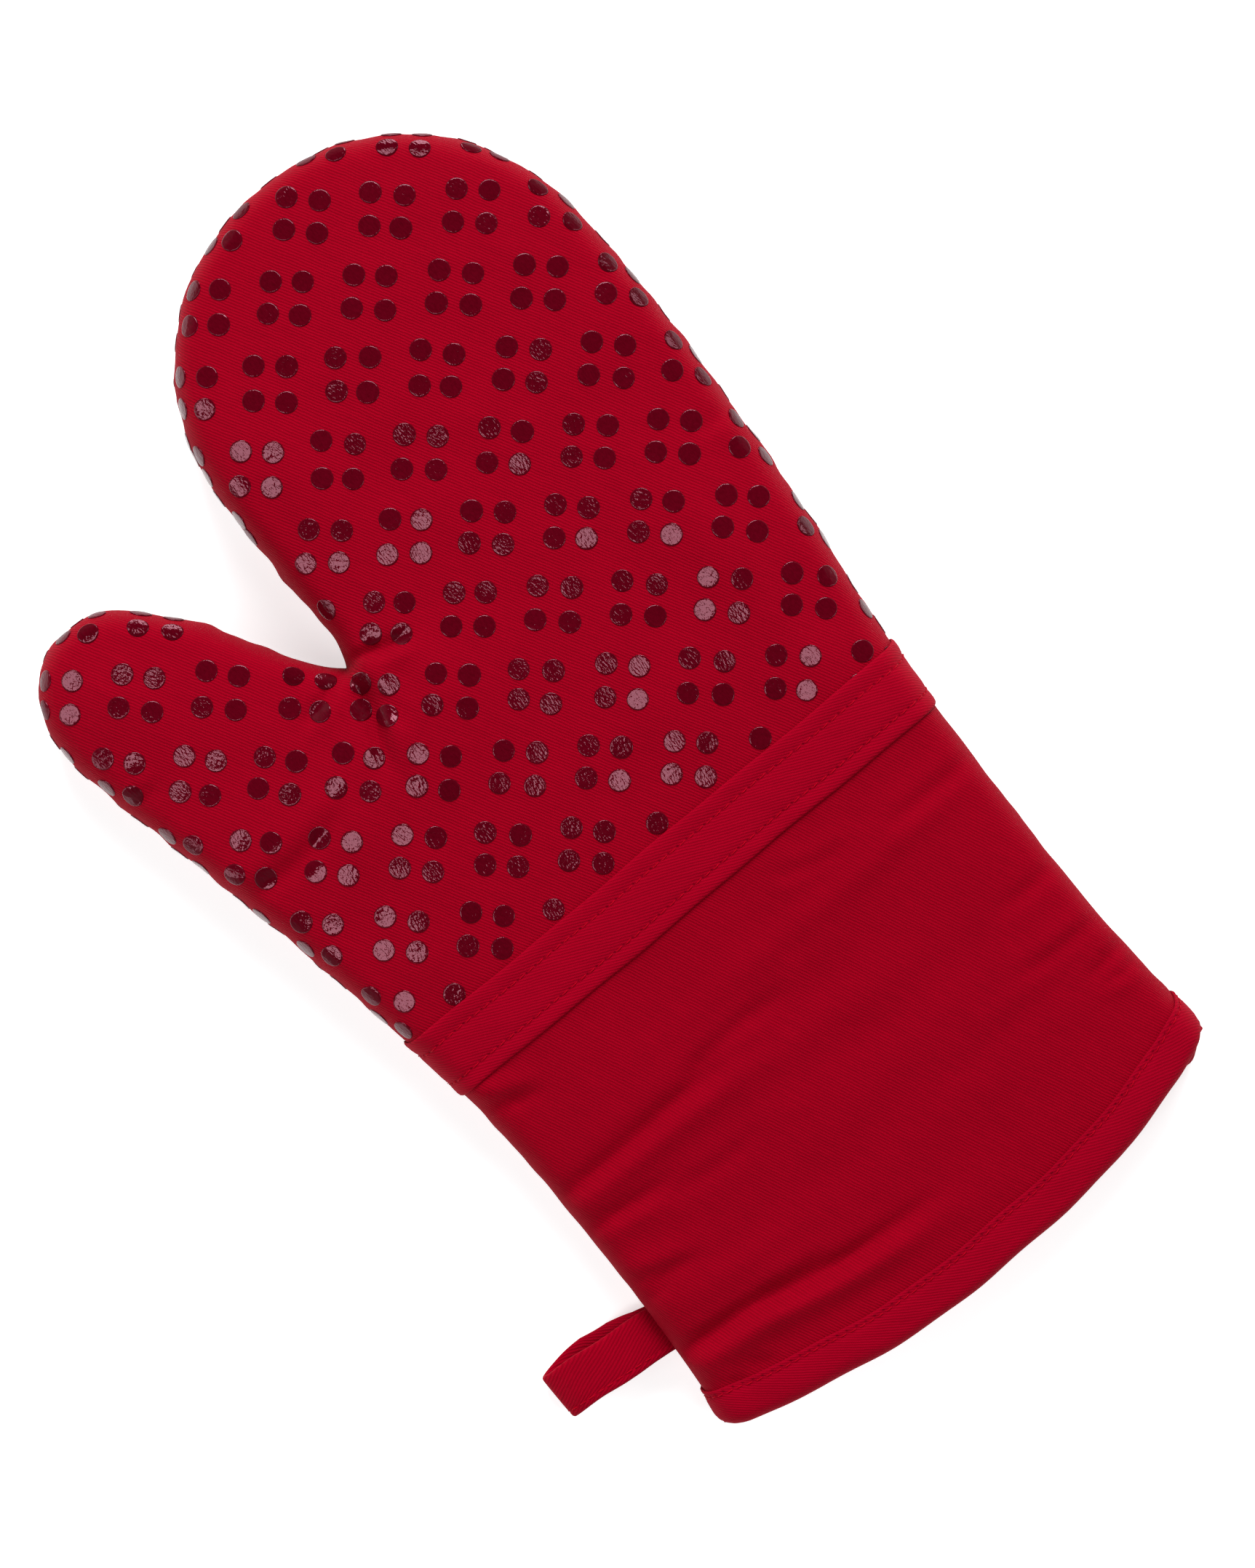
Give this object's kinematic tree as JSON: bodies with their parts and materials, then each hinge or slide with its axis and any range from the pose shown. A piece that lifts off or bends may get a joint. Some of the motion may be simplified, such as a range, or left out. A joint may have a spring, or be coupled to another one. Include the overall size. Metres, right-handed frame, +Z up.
{
  "type": "oven mitt",
  "caption": "Quilted cotton oven mitt with grip dots, a stitched wrist band, a long cuff with a bound mouth, and a hanging loop; fingers, thumb, cuff and loop fold.",
  "frame": {"origin": "the middle of the mitt's own box, on the table that it lies on", "axes": "+Y towards the fingertips, +Z up out of the palm, and the thumb on -X"},
  "size_m": [0.1964, 0.33, 0.03],
  "materials": {
    "shell_cotton": "red cotton twill, matt",
    "band_cotton": "red cotton twill, topstitched",
    "binding_cotton": "red cotton twill cut on the bias",
    "loop_tape": "red twill tape",
    "lining_cotton": "plain red cotton, matt",
    "wadding": "soft undyed cotton wadding",
    "grip_silicone": "dark red screen-printed silicone, glossy",
    "thread": "red polyester sewing thread"
  },
  "bodies": {
    "hand": {"palm_shell_hand": "shell_cotton", "palm_wadding_hand": "wadding", "palm_lining_hand": "lining_cotton", "back_shell_hand": "shell_cotton", "back_wadding_hand": "wadding", "back_lining_hand": "lining_cotton", "palm_wrist_band": "band_cotton", "back_wrist_band": "band_cotton"},
    "fingers": {"palm_shell_fingers": "shell_cotton", "palm_wadding_fingers": "wadding", "palm_lining_fingers": "lining_cotton", "back_shell_fingers": "shell_cotton", "back_wadding_fingers": "wadding", "back_lining_fingers": "lining_cotton"},
    "thumb": {"palm_shell_thumb": "shell_cotton", "palm_wadding_thumb": "wadding", "palm_lining_thumb": "lining_cotton", "back_shell_thumb": "shell_cotton", "back_wadding_thumb": "wadding", "back_lining_thumb": "lining_cotton"},
    "cuff": {"palm_shell_cuff": "shell_cotton", "palm_wadding_cuff": "wadding", "palm_lining_cuff": "lining_cotton", "back_shell_cuff": "shell_cotton", "back_wadding_cuff": "wadding", "back_lining_cuff": "lining_cotton", "mouth_binding": "binding_cotton"},
    "loop": {"hanging_loop": "loop_tape"}
  },
  "joints": [
    {"name": "finger_fold", "type": "hinge", "parent": "hand", "child": "fingers", "pos_m": [0.0395, 0.078, 0.029], "axis": [1, 0, 0], "range_deg": [0, 70]},
    {"name": "thumb_fold", "type": "hinge", "parent": "hand", "child": "thumb", "pos_m": [-0.05797, 0.0568, 0.027], "axis": [0.9568, 0.2907, 0], "range_deg": [0, 50]},
    {"name": "cuff_fold", "type": "hinge", "parent": "hand", "child": "cuff", "pos_m": [0.0105, -0.045, 0.0255], "axis": [-1, 0, 0], "range_deg": [0, 40]},
    {"name": "loop_swing", "type": "hinge", "parent": "cuff", "child": "loop", "pos_m": [-0.06895, -0.1205, 0.009], "axis": [0, 1, 0], "range_deg": [0, 90]}
  ]
}
